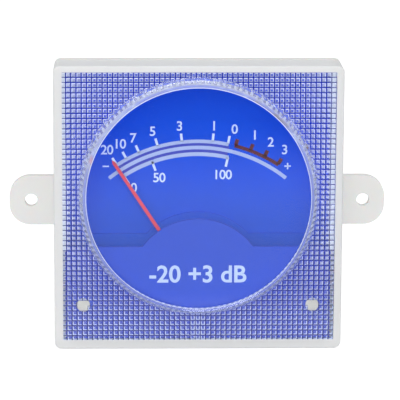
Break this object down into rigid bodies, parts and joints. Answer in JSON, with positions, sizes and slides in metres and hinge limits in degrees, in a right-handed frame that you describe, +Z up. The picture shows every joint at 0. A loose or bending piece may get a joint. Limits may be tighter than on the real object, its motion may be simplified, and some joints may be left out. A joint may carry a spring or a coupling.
{
  "type": "analog vu meter",
  "caption": "Square panel level meter: clear cover with a round raised window, blue dial with red pointer, side ears and solder tags.",
  "frame": {"origin": "midway between the two ear holes, on the front (panel) face of the ears", "axes": "+Z up, the top of the meter; -Y out of the dial towards the reader; +X to the reader's right, along the line of the ear holes"},
  "size_m": [0.079, 0.035, 0.06],
  "materials": {
    "clear_cover": "gloss",
    "milky_case": "satin",
    "dial_blue": "satin",
    "mask_blue": "satin",
    "plated_steel": "satin",
    "black_moulding": "matte",
    "soft_iron": "satin",
    "magnet_alloy": "satin",
    "brass": "satin",
    "ruby": "gloss",
    "pointer_red": "satin",
    "coil_foil": "satin",
    "coil_copper": "gloss",
    "pivot_steel": "polished",
    "spring_bronze": "polished",
    "tinned_brass": "satin",
    "lead_insulation": "satin"
  },
  "bodies": {
    "housing": {"front_cover": "clear_cover", "rear_case": "milky_case", "dial_plate": "dial_blue", "mask_plate": "mask_blue", "mask_pins": "plated_steel", "movement_plate": "black_moulding", "frame_screws": "plated_steel", "yoke_ring": "soft_iron", "magnet_core": "magnet_alloy", "core_bracket": "brass", "bracket_screws": "plated_steel", "core_screw": "brass", "front_pillars": "brass", "rear_pillars": "brass", "front_bridge": "brass", "rear_bridge": "brass", "bridge_screws": "plated_steel", "front_jewel_screw": "brass", "rear_jewel_screw": "brass", "front_jewel": "ruby", "rear_jewel": "ruby", "lock_nuts": "brass", "pointer_stops": "plated_steel", "terminal_tags": "tinned_brass", "lead_wires": "lead_insulation"},
    "zero_regulator": {"zero_regulator": "brass"},
    "moving_coil": {"pointer": "pointer_red", "balance_cross": "brass", "balance_weights": "brass", "coil_former": "coil_foil", "coil_winding": "coil_copper", "front_pivot": "pivot_steel", "rear_pivot": "pivot_steel", "front_collet": "brass", "rear_collet": "brass", "front_hairspring": "spring_bronze", "rear_hairspring": "spring_bronze"}
  },
  "joints": [
    {"name": "zero_adjust", "type": "hinge", "parent": "housing", "child": "zero_regulator", "pos_m": [0, -0.00385, -0.018], "axis": [0, 1, 0], "range_deg": [-5, 5]},
    {"name": "pointer_swing", "type": "hinge", "parent": "zero_regulator", "child": "moving_coil", "pos_m": [0, 0.004, -0.018], "axis": [0, 1, 0], "range_deg": [0, 68], "stiffness_Nm_per_rad": 0.000003, "deforming": ["front_hairspring", "rear_hairspring"]}
  ]
}
